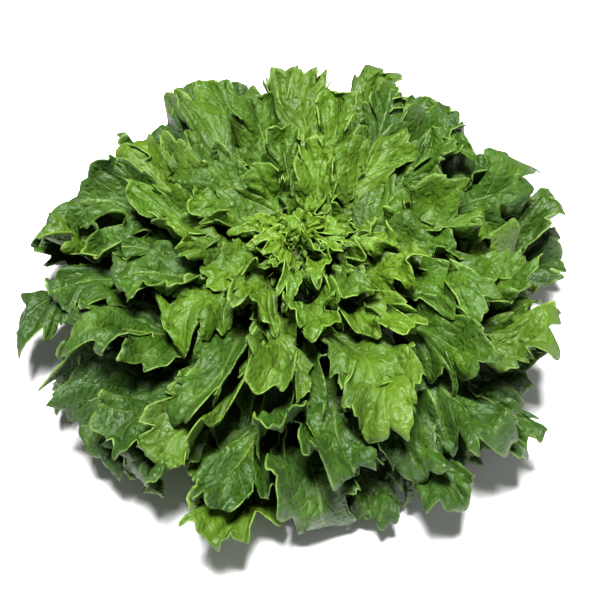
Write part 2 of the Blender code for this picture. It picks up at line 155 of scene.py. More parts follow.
# A blade's thickness between its veins, and how much broader the stem's leaves are than their solids
FINE_BLADE_THICKNESS = 0.7 * MM
BROADER = 1.09
# What the finer leaves add, as shares of a lobe's width
SCOOP = 0.44
SCALLOP = 0.2
TOOTH = 0.14 * SCALLOP
FRILL = 0.34
FRILL_SLIDE = 0.02
CRIMP = 0.045
RIM_CURL = 0.22
# Where the rim's curl starts, as a share of the way from the rib to the edge
RIM_CURL_FROM = 0.72
# How often they come round the edge, as waves for each lobe. A scallop is half a wave, and the last of
# these is how often the frills grow and fade
SCALLOP_TURNS = 1.9
TOOTH_TURNS = 8
FRILL_TURNS = 2.3
CRIMP_TURNS = 7.7
STRENGTH_TURNS = 0.37
# The side veins of a lobe, the puffs between them, and the folds and crinkles: heights and lengths
VEINS_PER_LOBE = 4
PUFF = 2.3 * MM
BUCKLE = 5.4 * MM
BUCKLE_LENGTH = 28 * MM
CRINKLE = 1.5 * MM
CRINKLE_LENGTH = 9 * MM
# The most that scoops, curls, frills, crimps, puffs, folds and crinkles together lift the blade
MOST_ADDED = 16 * MM

# A leaf's greens from the lowest leaf to the heart, each with half of the level at which it is reached
# The lower and outer leaves' greens are partly their own darker green and partly painted shade
OUTER_GREEN_AND_SHADE = (0.010, 0.034, 0.0016, 1)
MIDDLE_GREEN_AND_SHADE = (0.016, 0.051, 0.0021, 1)
INNER_GREEN = (0.030, 0.080, 0.0026, 1)
HEART_GREEN = (0.058, 0.124, 0.0040, 1)
LEVEL_GREENS_AND_SHADE = ((0.0, OUTER_GREEN_AND_SHADE), (0.24, MIDDLE_GREEN_AND_SHADE), (0.40, INNER_GREEN), (0.56, HEART_GREEN))
# The greens that a leaf as a whole and its patches lean towards, the colours of its rib and rim, the green of
# its painted shade and the stalk's cream
YELLOWER_LEAF = (0.075, 0.140, 0.005, 1)
DARKER_LEAF = (0.010, 0.034, 0.0020, 1)
MOTTLE_GREEN = (0.055, 0.125, 0.006, 1)
PATCH_GREEN = (0.010, 0.033, 0.003, 1)
RIB_GREEN = (0.12, 0.20, 0.035, 1)
EDGE_GREEN = (0.13, 0.225, 0.035, 1)
PAINTED_SHADE_GREEN = (0.012, 0.028, 0.004, 1)
STALK_CREAM = (0.42, 0.46, 0.24, 1)
# How strongly veins, the net between them and the rib show
NET_SHARE = 0.05
VEIN_SHARE = 0.16
RIB_SHARE = 0.35
# How far the rib's green reaches to each side at the base and at the tip, where the rim's green fades and
# where the stalk's cream fades, in millimetres, and the shares of a leaf's length over which its painted
# shade fades
RIB_WIDTHS = (3.6, 0.6)
RIM_FADE = (0.2, 1.1)
CREAM_FADE = (6.0, 22.0)
PAINTED_SHADE_FADE = (0.3, 0.72)
# How fine the leaf's patterns are, as waves or cells in a metre
PATCH_SCALE = 16
MOTTLE_SCALE = 45
EDGE_SCALE = 60
GLOSS_SCALE = 70
WOBBLE_SCALE = 90
GRAIN_SCALE = 150
NET_SCALE = 230.0
# A leaf's satin: its roughness, its refraction, its fine relief and the share of light that it lets through
SATIN = (0.42, 0.62)
LEAF_IOR = 1.35
RELIEF_DEPTH = 1 * MM
RELIEF_STRENGTH = 0.7
TRANSLUCENCE = 0.08
# What multiplies a leaf's colour: in the light that comes through, and on its two sides and its rim
THROUGH_TINT = (1.0, 1.15, 0.5, 1)
UPPER_TINT = (1, 1, 1, 1)
UNDER_TINT = (1.1, 1.05, 1.1, 1)
RIM_TINT = (1.35, 1.3, 1.3, 1)
# The cut stem: its colours, its roughness, its relief, and how fine its patterns are
STEM_FLESH = (0.60, 0.61, 0.34, 1)
STEM_BROWN = (0.40, 0.36, 0.17, 1)
STEM_SPECKS = (0.24, 0.19, 0.09, 1)
STEM_ROUGHNESS = (0.45, 0.7)
STEM_RELIEF_DEPTH = 0.4 * MM
STEM_RELIEF_STRENGTH = 0.3
STEM_PATCH_SCALE = 55
STEM_GRAIN_SCALE = 300
STEM_SPECK_SCALE = 420
# The heights between which the stem turns dark with painted shade, so that it doesn't show pale between the
# leaves
STEM_PAINTED_SHADE = (4 * MM, 16 * MM)
# The board under the head: its whites, its roughness, how fine their patterns are, and its size
FLOOR_WHITES = ((0.89, 0.89, 0.89, 1), (0.91, 0.91, 0.91, 1))
FLOOR_ROUGHNESS = (0.75, 0.85)
FLOOR_TONE_SCALE = 3
FLOOR_GRAIN_SCALE = 40
FLOOR_SIZE = 8

# Each light as (azimuth and elevation in degrees, distance, size, watts), and the light from all round
KEY_LIGHT = (-6, 80, 1.4, 0.3, 76)
FILL_LIGHT = (50, 40, 1.6, 1.2, 3)
WORLD_LIGHT = 0.13
# The camera's elevation in degrees, its distance and lens, and what it looks at
CAMERA_ELEVATION = 54
CAMERA_DISTANCE = 0.82
CAMERA_LENS = 85
AIM = Vector((-0.001, 0.0, 0.035))


def smooth_step(value, low, high):
    share = np.clip((np.asarray(value, float) - low) / (high - low), 0, 1)
    return share * share * (3 - 2 * share)


def at_level(values, level):
    """A value or a point of a table that is given at RIB_LEVELS, read between its levels."""
    table = np.array(values, float)
    if table.ndim == 1:
        return np.interp(level, RIB_LEVELS, table)
    return np.array([np.interp(level, RIB_LEVELS, column) for column in table.T])


def between(ends, share):
    return np.array(ends[0]) + (np.array(ends[1]) - ends[0]) * share


def rib_line(start, tip, slopes, pulls):
    """A rib's length, radius, height and lean along it, to a little past its tip, and its true length."""
    leaving, arriving = (np.array([math.cos(slope), math.sin(slope)]) for slope in np.radians(slopes))
    rise, bend = start + pulls[0] * leaving, tip - pulls[1] * arriving
    s = np.linspace(0, PAST_TIP, RIB_SAMPLES)
    near, far = 1 - s[:, None], s[:, None]
    line = (near**3 * start + 3 * far * near**2 * rise + 3 * far**2 * near * bend + far**3 * tip) * MM
    steps = np.diff(line, axis=0)
    length = np.concatenate([[0], np.cumsum(np.hypot(steps[:, 0], steps[:, 1]))])
    lean = np.unwrap(np.arctan2(np.gradient(line[:, 1]), np.gradient(line[:, 0])))
    return (length, line[:, 0], line[:, 1], lean), np.interp(1, s, length)


def lobe_rises(draw, wave):
    """How far each lobe of a leaf rises, in turn to one side of the blade and to the other."""
    first = draw.choice([-1, 1])
    turns = first * (-1.0) ** np.arange(2 * MOST_LOBES + 1)
    return wave * turns * draw.uniform(0.55, 1.15, len(turns))


def leaf_plan(index):
    """What is particular to one leaf. Index 0 is the lowest leaf."""
    draw = np.random.default_rng(SEED + index)
    level = index / (LEAVES - 1)
    slopes = at_level(BASE_SLOPES, level), at_level(TIP_SLOPES, level)
    pulls = at_level(BASE_PULLS, level), at_level(TIP_PULLS, level)
    on_stem = index < STEM_LEAVES
    if on_stem:
        base = between(STEM_BASES, index / (STEM_LEAVES - 1))
    else:
        base = between(CORE_BASES, (index - STEM_LEAVES) / (INNER_LEAVES - 1))
    line, full_length = rib_line(base, at_level(RIB_TIPS, level), slopes, pulls)
    length = full_length * draw.uniform(0.95, 1.02)
    widest_radius = np.interp(WIDEST_AT * length, line[0], line[1])
    span = math.radians(at_level(LEAF_SPANS, level))
    plan = {
        "line": line,
        "level": level,
        "azimuth": index * GOLDEN_ANGLE + draw.uniform(-0.06, 0.06),
        "length": length,
        "rib": RIB_THICKNESS + (INNER_RIB_THICKNESS - RIB_THICKNESS) * level,
        "half_width": span * widest_radius * draw.uniform(0.9, 1.06),
        "base_half_width": BASE_WIDTH * line[1][0],
        "stalk": at_level(STALK_LENGTHS, level),
        "lobes": LOBES,
        "root": 0 if on_stem else INNER_ROOT,
        "spread": LOBE_SPREAD,
        "rises": lobe_rises(draw, at_level(EDGE_WAVES, level) * MM),
        "notches": draw.uniform(0.7, 1.25, 2 * MOST_LOBES + 1),
        "uneven": draw.uniform(0, 1, 3),
        "cup": draw.uniform(-4, 8) * MM,
        "roll": draw.uniform(-9, 9) * MM,
        "curl": draw.uniform(-16, 3) * MM,
        "twist": draw.uniform(-0.06, 0.2),
    }
    return finished(plan)


def heart_plan(index):
    """One of the small leaves of the heart, from the outermost (0) inwards."""
    draw = np.random.default_rng(SEED + LEAVES + index)
    inward = index / (HEART_LEAVES - 1)
    slopes = 84, between(HEART_TIP_SLOPES, inward)
    pulls = 25 - 10 * inward, 18 - 6 * inward
    line, length = rib_line(between(HEART_BASES, inward), between(HEART_TIPS, inward), slopes, pulls)
    plan = {
        "line": line,
        "level": 1 + inward,
        "azimuth": (LEAVES + index) * GOLDEN_ANGLE + draw.uniform(-0.2, 0.2),
        "length": length * draw.uniform(0.9, 1.05),
        "rib": HEART_RIB_THICKNESS,
        "half_width": between(HEART_HALF_WIDTHS, inward) * draw.uniform(0.9, 1.1) * MM,
        "base_half_width": 2.6 * MM,
        "stalk": HEART_STALK_LENGTH,
        "lobes": HEART_LOBES,
        "root": HEART_ROOT,
        "spread": 0,
        "rises": lobe_rises(draw, between(HEART_WAVES, inward) * MM),
        "notches": draw.uniform(0.7, 1.2, 2 * MOST_LOBES + 1),
        "uneven": draw.uniform(0, 1, 3),
        "cup": draw.uniform(-1, 2) * MM,
        "roll": draw.uniform(-3, 3) * MM,
        "curl": draw.uniform(-3, 3) * MM,
        "twist": draw.uniform(-0.3, 0.3),
    }
    return finished(plan)


def blade_edge(plan, turn):
    """A place on the edge of a leaf's blade without its lobes, from the stalk (0) to the tip (pi)."""
    neck = 0.8 * plan["base_half_width"] + 2 * MM
    widest = WIDEST_AT * plan["length"]
    lower = turn < math.pi / 2
    reach = np.where(lower, widest - plan["stalk"] * plan["length"], plan["length"] - widest)
    rise = np.where(turn > math.pi - 1e-6, 0, np.maximum(np.sin(turn), 0))
    below, above = neck + (plan["half_width"] - neck) * rise**1.35, plan["half_width"] * rise**0.75
    return widest - reach * np.cos(turn), np.where(lower, below, above)


def finished(plan):
    """Adds what follows from a plan's outline: where equal parts of its edge lie, and the width of a lobe."""
    turns = np.linspace(0, math.pi, 181)
    steps = np.diff(np.stack(blade_edge(plan, turns)), axis=1)
    lengths = np.concatenate([[0], np.cumsum(np.hypot(*steps))])
    plan["turns"] = lengths / lengths[-1], turns
    plan["lobe"] = lengths[-1] / plan["lobes"]
    plan["calm"] = np.ones(len(CALM_STATIONS))
    return plan


def outline(plan, along, side):
    """For rows from the base (0) to the tip (1): where the side vein starts, and its end at the edge."""
    stalk_length = plan["stalk"] * plan["length"]
    stalk = np.clip(along / STALK, 0, 1)
    up = np.clip((along - STALK) / (1 - STALK), 0, 1)
    place = plan["uneven"][0] + side * plan["uneven"][1]
    uneven = 0.035 * np.sin(math.pi * up) * np.sin(2 * math.pi * (1.3 * up + place))
    vein_turn, edge_turn = np.interp(up, *plan["turns"]), np.interp(up + uneven, *plan["turns"])
    veined = LAST_VEIN_AT * plan["length"] - stalk_length
    vein_start = stalk_length + veined * (vein_turn / math.pi) ** VEIN_SWEEP
    edge_along, edge_across = blade_edge(plan, edge_turn)
    on_stalk = along < STALK
    neck = blade_edge(plan, 0.0)[1]
    stalk_across = plan["base_half_width"] + (neck - plan["base_half_width"]) * stalk
    return (
        np.where(on_stalk, stalk_length * stalk, vein_start),
        np.where(on_stalk, stalk_length * stalk, edge_along),
        np.where(on_stalk, stalk_across, edge_across),
    )


def edge_direction(plan, along, side):
    """The way that the edge runs from the left base round the tip, as shares forward and sideways."""
    step = 0.006
    ends = []
    for place in (np.minimum(along + step, 1), np.maximum(along - step, 0)):
        _, edge_along, edge_across = outline(plan, place, side)
        ends.append(np.stack([edge_along, side * edge_across]))
    run = np.where(side < 0, -1, 1) * (ends[1] - ends[0])
    return run / np.maximum(np.hypot(*run), 1e-9)


def lobe_place(plan, across, along):
    """Where a row lies among the lobes: 0 in the middle of the tip's, whole numbers in the other middles."""
    return np.sign(across) * plan["lobes"] * np.clip((1 - along) / (1 - STALK), 0, 1)


def flat_leaf(plan, across, along):
    """Places on the flat blade, forward and sideways, and their rise. Edges are at -1 and 1 across."""
    side = np.sign(across)
    vein_start, edge_along, edge_across = outline(plan, along, side)
    out = np.abs(across)
    blade = smooth_step(along, STALK * 0.8, STALK + 0.25)
    lobe = lobe_place(plan, across, along)
    nearest = np.round(lobe).astype(int)
    vein = np.hypot(edge_along - vein_start, edge_across)
    deepest = np.minimum(NOTCH_DEPTH * plan["lobe"] / vein, DEEPEST_NOTCH)
    deepest = deepest * plan["notches"][nearest + MOST_LOBES]
    kept = out * (1 - blade * deepest * np.abs(2 * (lobe - nearest)) ** 3.5)
    direction = edge_direction(plan, along, side)
    slide = plan["spread"] * plan["lobe"] * blade * out**2 * np.sin(2 * math.pi * lobe)
    forward = vein_start + (edge_along - vein_start) * kept + slide * direction[0]
    sideways = side * edge_across * kept + slide * direction[1]
    below = np.floor(lobe).astype(int)
    share = (1 - np.cos(math.pi * (lobe - below))) / 2
    rises = plan["rises"]
    after = np.minimum(below + 1, MOST_LOBES)
    lobe_rise = rises[below + MOST_LOBES] * (1 - share) + rises[after + MOST_LOBES] * share
    roll = plan["roll"] * sideways / plan["half_width"]
    bend = out**1.1 * lobe_rise + out**2 * plan["cup"] + out**1.5 * roll
    calm = np.interp(side * (1 - along), CALM_STATIONS, plan["calm"])
    rise = blade * calm * bend + plan["curl"] * smooth_step(forward / plan["length"], 0.45, 1.05)
    return forward, sideways, rise


def swell(points):
    """Swells that neighbouring leaves share, as packed leaves do: a smooth push of space."""
    x, y, z = points.T
    r = np.hypot(x, y)
    azimuth = np.arctan2(y, x)
    climb = np.arctan2(z, r)
    away = np.hypot(r, z)
    height = np.minimum(SWELL_SLOPE * r, SWELL_HEIGHT) * smooth_step(away, 55 * MM, 115 * MM)
    wave = 0.6 * np.sin(13 * azimuth + 4 * climb) * np.cos(6 * climb + 1)
    wave += 0.4 * np.sin(8 * azimuth - 60 * away)
    facing = math.radians(20) + 1.7 * climb
    outward = height * wave * np.cos(facing)
    upward = height * wave * np.sin(facing)
    return points + np.stack([outward * np.cos(azimuth), outward * np.sin(azimuth), upward], axis=1)


def sway(points):
    """The whole head's unevenness, again as one smooth push of space, so that it can't make leaves cross."""
    x, y, z = points.T
    away = smooth_step(np.hypot(x, y), 30 * MM, 90 * MM)
    lift = smooth_step(z, 5 * MM, 50 * MM)
    push = np.stack(
        [
            6 * MM * np.sin(38 * y + 20 * z + 0.4) + 2.5 * MM * np.sin(85 * y - 40 * z + 1.9),
            6 * MM * np.sin(41 * x - 23 * z + 2.1) + 2.5 * MM * np.sin(80 * x + 35 * z + 0.2),
            lift * (6 * MM * np.sin(36 * x + 1.0) * np.cos(31 * y + 0.3) + 2 * MM * np.sin(90 * x + 70 * y)),
        ],
        axis=1,
    )
    return points + away[:, None] * push


def hold_round(points):
    """Draws in what would stand out of the dome that the leaves' tips lie on."""
    x, y, z = points.T
    out = (np.abs(np.hypot(x, y) / DOME_RADIUS) ** 3 + np.abs(z / DOME_HEIGHT) ** 3) ** (1 / 3)
    held = DOME_START + DOME_GIVE * np.tanh((out - DOME_START) / DOME_GIVE)
    return points * np.where(out > DOME_START, held / np.maximum(out, DOME_START), 1)[:, None]


def face_front(points):
    """Turns the head's front side to -Y, and lets the leaves of its longest side reach out."""
    x, y, z = points.T
    r = np.hypot(x, y)
    azimuth = np.arctan2(y, x) + FRONT
    towards = np.maximum(np.cos(azimuth - LONG_SIDE), 0) ** 8
    r = r + LONG_SIDE_REACH * towards * smooth_step(r, 60 * MM, 140 * MM)
    return np.stack([r * np.cos(azimuth), r * np.sin(azimuth), z], axis=1)


def rest_on_table(points):
    """Bends what would sink through the table up to just above it."""
    depth = 6 * MM
    height = points[:, 2] - FLOOR_CLEARANCE
    height = np.where(height > depth, height, depth * np.exp((height - depth) / depth))
    points[:, 2] = FLOOR_CLEARANCE + height
    return points


def on_head(plan, forward, sideways, rise):
    """Bends the places of a flat leaf to its rib and round the head."""
    length, radius, height, lean = plan["line"]
    r = np.interp(forward, length, radius)
    z = np.interp(forward, length, height)
    angle = np.interp(forward, length, lean)
    azimuth = plan["azimuth"] + plan["twist"] * (forward / plan["length"]) ** 2
    azimuth = azimuth + sideways / np.maximum(r, LEAST_ROUND_RADIUS)
    r = r - rise * np.sin(angle)
    z = z + rise * np.cos(angle)
    points = np.stack([r * np.cos(azimuth), r * np.sin(azimuth), z], axis=1)
    if plan["level"] <= 1:
        points = swell(points)
    return rest_on_table(face_front(hold_round(sway(points))))


def grid_rows(plan):
    """Where the rows of a solid leaf's grid lie: at its base, then at each lobe's notch and two shoulders."""
    lobes = plan["lobes"]
    places = [0.0, SHOULDER]
    for notch in np.arange(0.5, lobes - 1):
        places += [notch, notch + 0.5 - SHOULDER, notch + 0.5 + SHOULDER]
    places = [place for place in places if place < lobes - 1] + [lobes - 1, lobes - 0.5]
    blade = [1 - (1 - STALK) * place / lobes for place in reversed(places)]
    return np.array([0, STALK, *blade])


def leaf_grid(columns, rows):
    """A flat grid of triangles to bend into a leaf, and each point's place across and along the leaf."""
    shape = bmesh.new()
    bmesh.ops.create_grid(shape, x_segments=2 * columns, y_segments=len(rows) - 1, size=1)
    bmesh.ops.triangulate(shape, faces=shape.faces, quad_method="FIXED")
    places = np.array([vertex.co[:2] for vertex in shape.verts])
    return shape, places[:, 0], np.interp((places[:, 1] + 1) / 2, np.linspace(0, 1, len(rows)), rows)


class Sheet:
    """A leaf's middle surface, to measure against the others."""

    def __init__(self, plan):
        shape, across, along = leaf_grid(COLUMNS, grid_rows(plan))
        self.plan = plan
        self.round_edge = np.sign(across) * (1 - along)
        self.place = across, along
        self.faces = [[vertex.index for vertex in face.verts] for face in shape.faces]
        shape.free()
        self.bend()

    def bend(self):
        self.points = on_head(self.plan, *flat_leaf(self.plan, *self.place))
        self.low, self.high = self.points.min(axis=0), self.points.max(axis=0)
        self.tree = BVHTree.FromPolygons(self.points.tolist(), self.faces)

    def spots_near(self, other, least_along):
        """The points of this leaf, from a share of its length up, that are too near the other."""
        reach = LEAF_CLEARANCE
        if (self.low > other.high + reach).any() or (other.low > self.high + reach).any():
            return []
        close = ((self.points > other.low - reach) & (self.points < other.high + reach)).all(axis=1)
        near = np.flatnonzero(close)
        touching = [i for i in near if other.tree.find_nearest(self.points[i], reach)[0] is not None]
        crossing = {i for face, _ in self.tree.overlap(other.tree) for i in self.faces[face]}
        return {i for i in {*touching, *crossing} if self.place[1][i] > least_along}

    def calm_at(self, spots):
        stations = set(np.abs(np.subtract.outer(self.round_edge[spots], CALM_STATIONS)).argmin(axis=1))
        for station in sorted(stations):
            away = (CALM_STATIONS - CALM_STATIONS[station]) / CALM_REACH
            self.plan["calm"] *= 1 - CALM_STEP * np.exp(-(away**2))
        self.plan["curl"] *= 1 - CALM_STEP / 2


def keep_leaves_apart(plans):
    """Lowers the waves of leaves bit by bit where they would touch, apart from roots that may meet."""
    sheets = [Sheet(plan) for plan in plans]
    moved = set(range(len(sheets)))
    for _ in range(MOST_ROUNDS):
        spots = {}
        for i, sheet in enumerate(sheets):
            for j, other in enumerate(sheets):
                if i != j and (i in moved or j in moved):
                    found = sheet.spots_near(other, min(sheet.plan["root"], other.plan["root"]))
                    if found:
                        spots.setdefault(i, set()).update(found)
        moved = set(spots)
        if not moved:
            break
        for i in sorted(moved):
            sheets[i].calm_at(sorted(spots[i]))
            sheets[i].bend()


def fine_traits(plan, draw):
    """What is particular to a leaf's finer shape."""
    lobes = 2 * MOST_LOBES + 1
    plan["scoops"] = draw.choice([-1, 1, 1], lobes) * draw.uniform(0.4, 1.1, lobes)
    plan["curls"] = draw.uniform(-1, 1.3, lobes)
    plan["fine"] = draw.uniform(0, 2 * math.pi, 10)
    plan["tone"] = draw.uniform(0, 1)
    return plan


def fine_leaf(plan, across, along):
    """The leaf's places and rise with its scooped lobes, frills, teeth, puffs and uneven blade."""
    forward, sideways, rise = flat_leaf(plan, across, along)
    side, out = np.sign(across), np.abs(across)
    fine, width = plan["fine"], plan["lobe"]
    vein_start, edge_along, edge_across = outline(plan, along, side)
    vein = np.stack([edge_along - vein_start, side * edge_across])
    vein = vein / np.maximum(np.hypot(*vein), 1 * MM)
    blade = smooth_step(along, STALK, STALK + 0.2)
    calm = np.interp(side * (1 - along), CALM_STATIONS, plan["calm"])
    kept = blade * np.sqrt(calm)
    lobe = lobe_place(plan, across, along)
    nearest = np.round(lobe).astype(int)
    inside = 2 * (lobe - nearest)
    turn = 2 * math.pi * lobe
    scoop = SCOOP * width * plan["scoops"][nearest + MOST_LOBES] * out**1.5 * (1 - inside**2)
    below = np.floor(lobe).astype(int)
    share = (1 - np.cos(math.pi * (lobe - below))) / 2
    curls = plan["curls"]
    after = np.minimum(below + 1, MOST_LOBES)
    curl = curls[below + MOST_LOBES] * (1 - share) + curls[after + MOST_LOBES] * share
    curl = RIM_CURL * width * curl * smooth_step(out, RIM_CURL_FROM, 1.05) ** 1.5
    strength = 0.7 + 0.3 * np.sin(STRENGTH_TURNS * turn + fine[0])
    frill_turn = FRILL_TURNS * turn + fine[1] + 1.2 * np.sin(turn + fine[2])
    frill = FRILL * width * strength * out**3 * np.sin(frill_turn)
    crimp = CRIMP * width * out**7 * np.sin(CRIMP_TURNS * turn + fine[3] + 1.4 * np.sin(frill_turn))
    puff = PUFF * np.sin(math.pi * out) ** 0.8 * np.abs(np.sin(VEINS_PER_LOBE * turn / 2)) ** 0.7
    scale = 2 * math.pi / BUCKLE_LENGTH
    ahead, aside = scale * forward, scale * sideways
    buckle = np.sin(ahead + 0.4 * aside + fine[4]) * np.sin(0.8 * aside - 0.3 * ahead + fine[5])
    buckle += 0.6 * np.sin(1.33 * ahead - 1.14 * aside + fine[6]) * np.sin(1.7 * aside + fine[7])
    ahead, aside = 2 * math.pi * forward / CRINKLE_LENGTH, 2 * math.pi * sideways / CRINKLE_LENGTH
    crinkle = np.sin(ahead + 0.7 * aside + fine[7] + 1.3 * np.sin(0.6 * aside))
    crinkle *= np.sin(aside - 0.5 * ahead + fine[8])
    relief = BUCKLE * out**0.6 * buckle + CRINKLE * out**0.5 * crinkle
    added = kept * (scoop + curl + frill + crimp + puff + relief)
    rise = rise + MOST_ADDED * np.tanh(added / MOST_ADDED)
    scallop = SCALLOP * (np.abs(np.sin(SCALLOP_TURNS * turn + 0.5 * fine[1])) ** 0.6 - 0.8)
    scallop += TOOTH * np.sin(TOOTH_TURNS * turn + fine[9])
    push = blade * width * out**4 * scallop
    slide = -FRILL_SLIDE * width * kept * out**4 * np.sin(2 * frill_turn)
    direction = edge_direction(plan, along, side)
    forward = forward + push * vein[0] + slide * direction[0]
    sideways = sideways + push * vein[1] + slide * direction[1]
    return forward, sideways, rise


def blade_thickness(plan, across, along):
    """The rib is round and thickest at the base, and the blade is thin all over."""
    ridge = (plan["rib"] - FINE_BLADE_THICKNESS) * (1 - smooth_step(along, 0.05, 0.9))
    return FINE_BLADE_THICKNESS + ridge * (1 - np.abs(across)) ** 4


def fine_rows(count, spread):
    """Rows that lie evenly along the finished edge: close together where a lobe's middle is spread out."""
    along = np.linspace(STALK, 1, 20 * count)
    lobe = LOBES * (1 - along) / (1 - STALK)
    edge_place = lobe + spread * np.sin(2 * math.pi * lobe)
    travelled = np.concatenate([[0], np.cumsum(np.abs(np.diff(edge_place)) + 1e-6)])
    blade_rows = np.interp(np.linspace(0, travelled[-1], count - STALK_ROWS), travelled, along)
    return np.concatenate([np.linspace(0, STALK, STALK_ROWS, endpoint=False), blade_rows])


class LeafTemplate:
    """A flat leaf with its map, copied and bent into each leaf."""

    def __init__(self, columns, rows, spread):
        shape, self.across, self.along = leaf_grid(columns, fine_rows(rows, spread))
        layer = shape.loops.layers.uv.new("leaf_map")
        for face in shape.faces:
            for loop in face.loops:
                loop[layer].uv = ((loop.vert.co.x + 1) / 2, (loop.vert.co.y + 1) / 2)
        self.mesh = bpy.data.meshes.new("leaf_template")
        shape.to_mesh(self.mesh)
        shape.free()

    def bent(self, name, plan):
        """A mesh of this plan's leaf, closed at its tip, with the facts that its materials read."""
        mesh = self.mesh.copy()
        mesh.name = name
        across, along = self.across, self.along
        points = on_head(plan, *fine_leaf(plan, across, along))
        mesh.vertices.foreach_set("co", points.astype(np.float32).ravel())
        vein_start, edge_along, edge_across = outline(plan, along, np.sign(across))
        half = np.maximum(edge_across, 1 * MM)
        vein_length = np.hypot(edge_along - vein_start, edge_across)
        facts = {
            "from_rib": np.abs(across) * half / MM,
            "from_edge": (1 - np.abs(across)) * vein_length / MM,
            "forward": vein_start / MM,
            "length": np.full(len(along), plan["length"] / MM),
            "level": np.full(len(along), plan["level"]),
            "tone": np.full(len(along), plan["tone"]),
            "vein": VEINS_PER_LOBE * lobe_place(plan, across, along),
            "thick": blade_thickness(plan, across, along),
        }
        for fact, values in facts.items():
            kept = mesh.attributes.new(fact, "FLOAT", "POINT")
            kept.data.foreach_set("value", np.asarray(values, np.float32))
        shape = bmesh.new()
        shape.from_mesh(mesh)
        bmesh.ops.remove_doubles(shape, verts=shape.verts, dist=0.01 * MM)
        shape.to_mesh(mesh)
        shape.free()
        return mesh


def socket(node, name):
    return next(s for s in node.inputs if s.name == name and s.enabled)


class Nodes:
    """Short ways to add shader nodes to one tree."""

    def __init__(self, tree):
        self.tree = tree

    def add(self, kind, settings=None, **inputs):
        node = self.tree.nodes.new(kind)
        for name, value in (settings or {}).items():
            setattr(node, name, value)
        for name, value in inputs.items():
            self.feed(socket(node, name.replace("_", " ")), value)
        return node

    def feed(self, target, value):
        if isinstance(value, bpy.types.NodeSocket):
            self.tree.links.new(value, target)
        else:
            target.default_value = value

    def maths(self, operation, first, second):
        node = self.tree.nodes.new("ShaderNodeMath")
        node.operation = operation
        self.feed(node.inputs[0], first)
        self.feed(node.inputs[1], second)
        return node.outputs[0]

    def fact(self, name):
        return self.add("ShaderNodeAttribute", {"attribute_name": name}).outputs["Fac"]

    def ramp(self, value, low, high, out_low=0.0, out_high=1.0):
        node = self.add("ShaderNodeMapRange", {"interpolation_type": "SMOOTHSTEP"}, Value=value)
        ends = {"From Min": low, "From Max": high, "To Min": out_low, "To Max": out_high}
        for name, number in ends.items():
            self.feed(node.inputs[name], number)
        return node.outputs[0]

    def mix(self, share, first, second, blend="MIX"):
        node = self.tree.nodes.new("ShaderNodeMix")
        node.data_type = "RGBA"
        node.blend_type = blend
        self.feed(node.inputs[0], share)
        self.feed(node.inputs[6], first)
        self.feed(node.inputs[7], second)
        return node.outputs[2]

    def noise(self, scale, detail, coordinates, roughness=0.5):
        node = self.add("ShaderNodeTexNoise", Scale=scale, Detail=detail, Vector=coordinates)
        self.feed(node.inputs["Roughness"], roughness)
        return node.outputs["Fac"]


